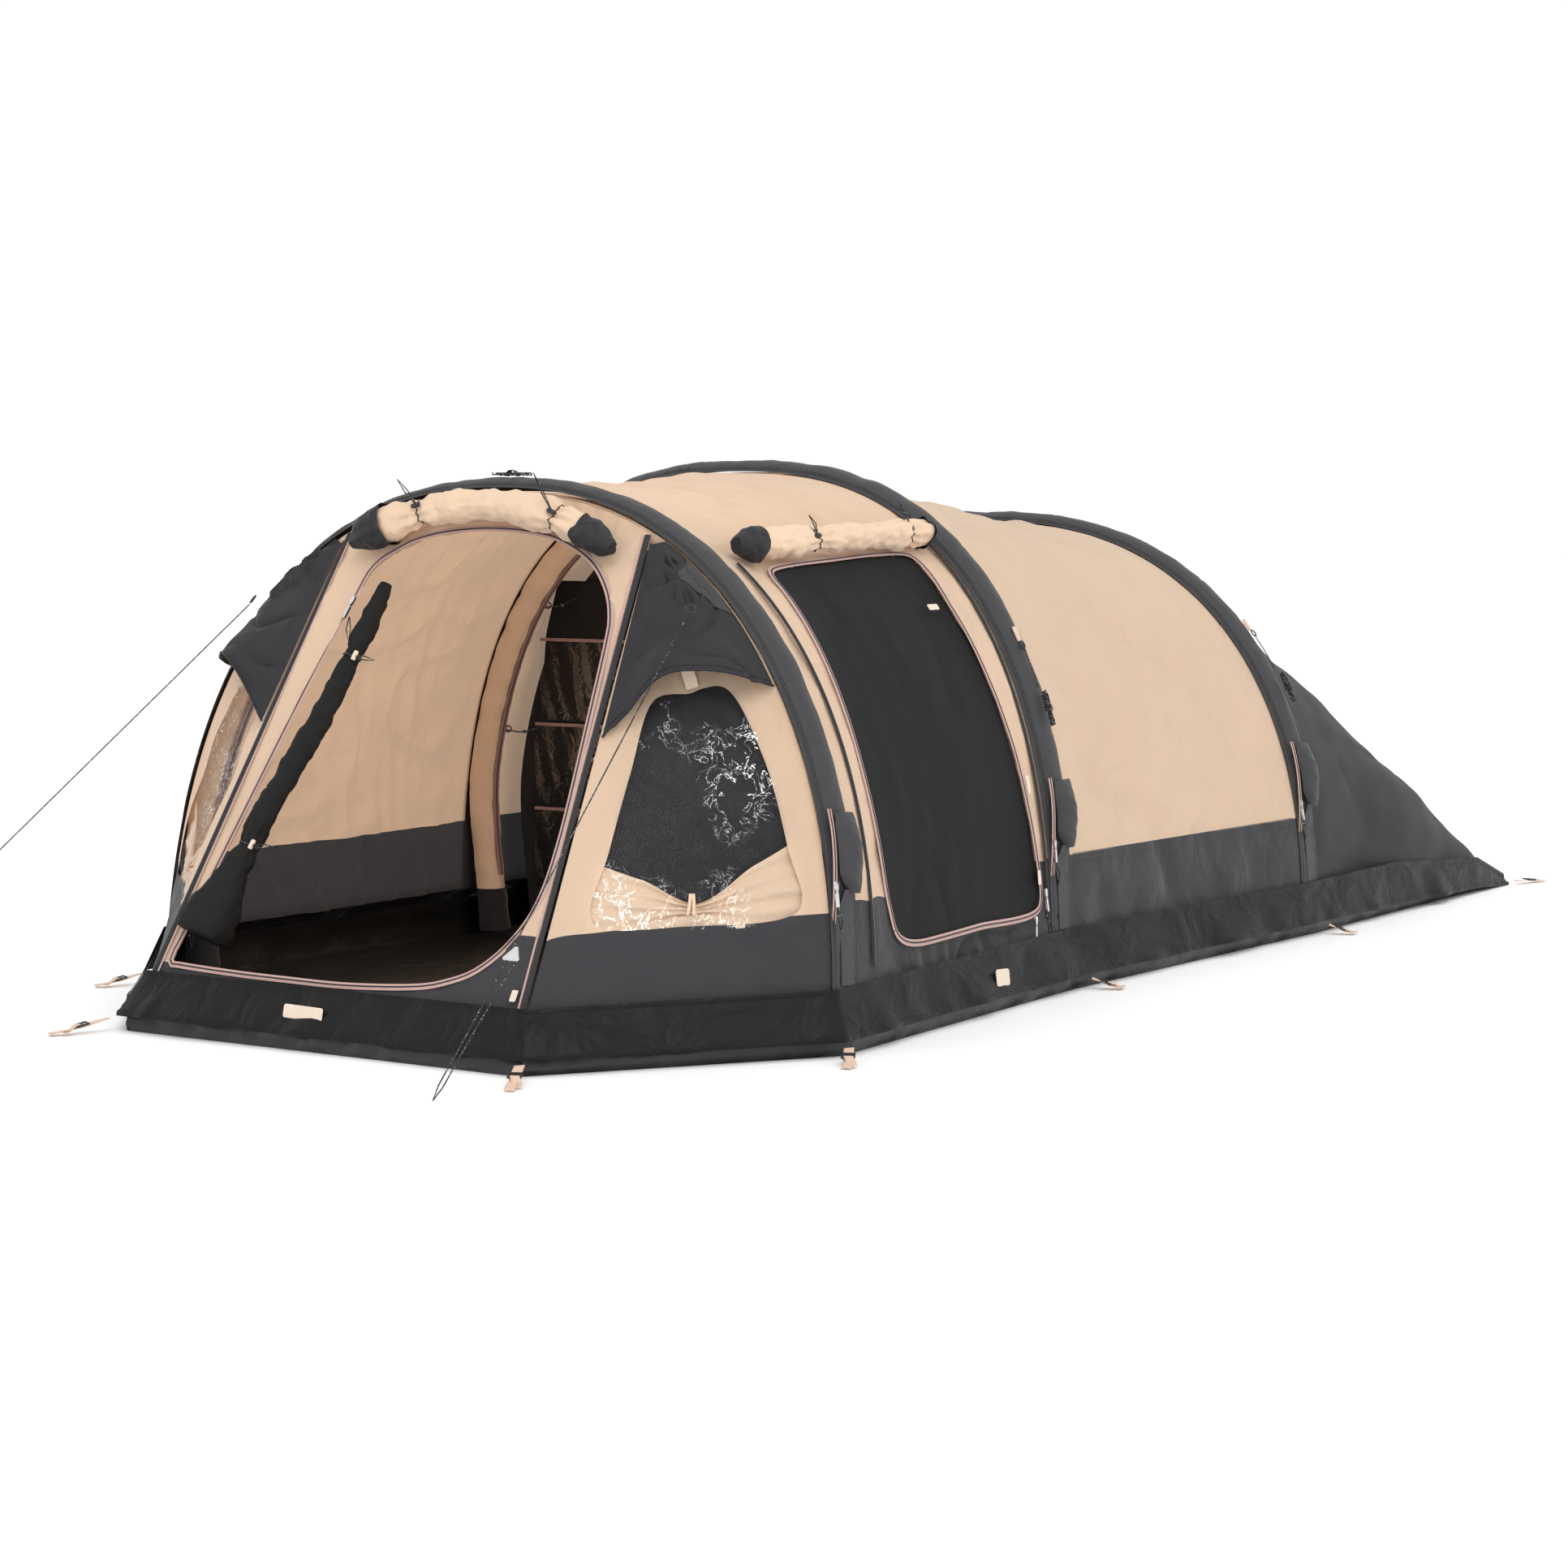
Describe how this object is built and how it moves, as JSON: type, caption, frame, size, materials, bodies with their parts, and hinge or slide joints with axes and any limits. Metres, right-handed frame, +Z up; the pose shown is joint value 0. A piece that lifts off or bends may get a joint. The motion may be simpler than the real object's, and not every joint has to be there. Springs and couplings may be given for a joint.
{
  "type": "inflatable tunnel tent",
  "caption": "Inflatable tunnel tent with air-beam arches, a three-facet front bay with an open door, a meshed side door, a sloping tail, bathtub groundsheet and hung inner tent.",
  "frame": {"origin": "on the ground under the middle of the tent, without its guy lines", "axes": "+X across, to the side with the side door; +Y along, to the tail; +Z up"},
  "size_m": [2.7831, 5.4936, 1.4586],
  "materials": {
    "polycotton_beige": "woven polycotton, matt, tan",
    "polycotton_charcoal": "coated polyester, dark grey",
    "groundsheet_black": "coated polyester, near black, slight gloss",
    "door_mesh_black": "fine insect mesh, black",
    "clear_pvc": "clear flexible film, glossy",
    "beam_film": "inflatable tube film, pale grey",
    "moulded_black": "moulded plastic, black",
    "zip_metal": "plated zip slider and pull",
    "runner_metal": "pressed plate, bright",
    "webbing_beige": "woven webbing, tan",
    "cord_black": "braided cord, black with pale flecks",
    "inner_cloth": "light polyester, dark grey"
  },
  "bodies": {
    "tent": {"front_panel": "polycotton_beige", "facet_right": "polycotton_beige", "facet_left": "polycotton_beige", "fly_bay_front": "polycotton_beige", "fly_bay_rear": "polycotton_beige", "front_door_roll": "polycotton_beige", "side_door_roll": "polycotton_beige", "arch_sleeve_front": "polycotton_charcoal", "arch_sleeve_middle": "polycotton_charcoal", "arch_sleeve_rear": "polycotton_charcoal", "hood_right": "polycotton_charcoal", "hood_left": "polycotton_charcoal", "tail_panel": "polycotton_charcoal", "skirt": "polycotton_charcoal", "groundsheet": "groundsheet_black", "side_door_mesh": "door_mesh_black", "mesh_door_roll": "door_mesh_black", "organizer": "door_mesh_black", "facet_window_right": "clear_pvc", "facet_window_left": "clear_pvc", "air_beam_front": "beam_film", "air_beam_middle": "beam_film", "air_beam_rear": "beam_film", "valve_front": "moulded_black", "valve_middle": "moulded_black", "valve_rear": "moulded_black", "inner_tent": "inner_cloth", "inner_front_wall": "inner_cloth", "peg_strap_front_right": "webbing_beige", "peg_strap_front_left": "webbing_beige", "peg_strap_arch_front_right": "webbing_beige", "peg_strap_arch_front_left": "webbing_beige", "peg_strap_arch_middle_right": "webbing_beige", "peg_strap_arch_middle_left": "webbing_beige", "peg_strap_arch_rear_right": "webbing_beige", "peg_strap_arch_rear_left": "webbing_beige", "peg_strap_tail_right": "webbing_beige", "peg_strap_tail_left": "webbing_beige", "guy_line_front_right": "cord_black", "guy_line_front_left": "cord_black", "guy_line_middle": "cord_black", "guy_line_rear": "cord_black", "guy_hank_middle": "cord_black", "guy_hank_rear": "cord_black"},
    "front_zip_upper": {"slider_front_upper": "zip_metal"},
    "front_zip_lower": {"slider_front_lower": "zip_metal"},
    "side_zip_sill": {"slider_side_sill": "zip_metal"},
    "side_zip_post": {"slider_side_post": "zip_metal"},
    "slider_valve_front_part": {"slider_valve_front": "zip_metal"},
    "valve_cover_front_part": {"valve_cover_front": "polycotton_charcoal"},
    "valve_cap_front_part": {"valve_cap_front": "moulded_black"},
    "slider_valve_middle_part": {"slider_valve_middle": "zip_metal"},
    "valve_cover_middle_part": {"valve_cover_middle": "polycotton_charcoal"},
    "valve_cap_middle_part": {"valve_cap_middle": "moulded_black"},
    "slider_valve_rear_part": {"slider_valve_rear": "zip_metal"},
    "valve_cover_rear_part": {"valve_cover_rear": "polycotton_charcoal"},
    "valve_cap_rear_part": {"valve_cap_rear": "moulded_black"},
    "runner": {"guy_runner": "runner_metal"}
  },
  "joints": [
    {"name": "front_zip_upper_travel", "type": "slide", "parent": "tent", "child": "front_zip_upper", "axis": [-0.1742, -0.4905, -0.8538], "range_m": [0, 0.41]},
    {"name": "front_zip_lower_travel", "type": "slide", "parent": "tent", "child": "front_zip_lower", "axis": [0.1742, 0.4905, 0.8538], "range_m": [0, 0.41]},
    {"name": "side_zip_sill_travel", "type": "slide", "parent": "tent", "child": "side_zip_sill", "axis": [0.0502, -0.9987, -0.0026], "range_m": [0, 0.45]},
    {"name": "side_zip_post_travel", "type": "slide", "parent": "tent", "child": "side_zip_post", "axis": [-0.1044, -0.0644, 0.9924], "range_m": [0, 0.16]},
    {"name": "valve_front_zip_travel", "type": "slide", "parent": "tent", "child": "slider_valve_front_part", "axis": [-0.1346, 0.079, 0.9877], "range_m": [0, 0.12]},
    {"name": "valve_front_cover_hinge", "type": "hinge", "parent": "tent", "child": "valve_cover_front_part", "pos_m": [1.08283, -1.68339, 0.47906], "axis": [-0.2121, 0.0779, 0.9741], "range_deg": [0, 100]},
    {"name": "valve_front_cap_turn", "type": "hinge", "parent": "tent", "child": "valve_cap_front_part", "pos_m": [1.02713, -1.73419, 0.471], "axis": [0.9772, 0.0169, 0.2114], "continuous": true},
    {"name": "valve_middle_zip_travel", "type": "slide", "parent": "tent", "child": "slider_valve_middle_part", "axis": [-0.0614, -0.02, 0.9979], "range_m": [0, 0.12]},
    {"name": "valve_middle_cover_hinge", "type": "hinge", "parent": "tent", "child": "valve_cover_middle_part", "pos_m": [1.04153, -0.47949, 0.48133], "axis": [-0.1401, -0.0198, 0.9899], "range_deg": [0, 100]},
    {"name": "valve_middle_cap_turn", "type": "hinge", "parent": "tent", "child": "valve_cap_middle_part", "pos_m": [0.98509, -0.52932, 0.47235], "axis": [0.9901, -0.0028, 0.1401], "continuous": true},
    {"name": "valve_rear_zip_travel", "type": "slide", "parent": "tent", "child": "slider_valve_rear_part", "axis": [-0.16, 0.0099, 0.9871], "range_m": [0, 0.12]},
    {"name": "valve_rear_cover_hinge", "type": "hinge", "parent": "tent", "child": "valve_cover_rear_part", "pos_m": [1.12663, 0.96197, 0.48353], "axis": [-0.2374, 0.0097, 0.9714], "range_deg": [0, 100]},
    {"name": "valve_rear_cap_turn", "type": "hinge", "parent": "tent", "child": "valve_cap_rear_part", "pos_m": [1.07126, 0.91184, 0.4705], "axis": [0.9714, 0.0024, 0.2374], "continuous": true},
    {"name": "runner_travel", "type": "slide", "parent": "tent", "child": "runner", "axis": [-0.0301, -0.668, -0.7435], "range_m": [-0.12, 0.12]}
  ]
}
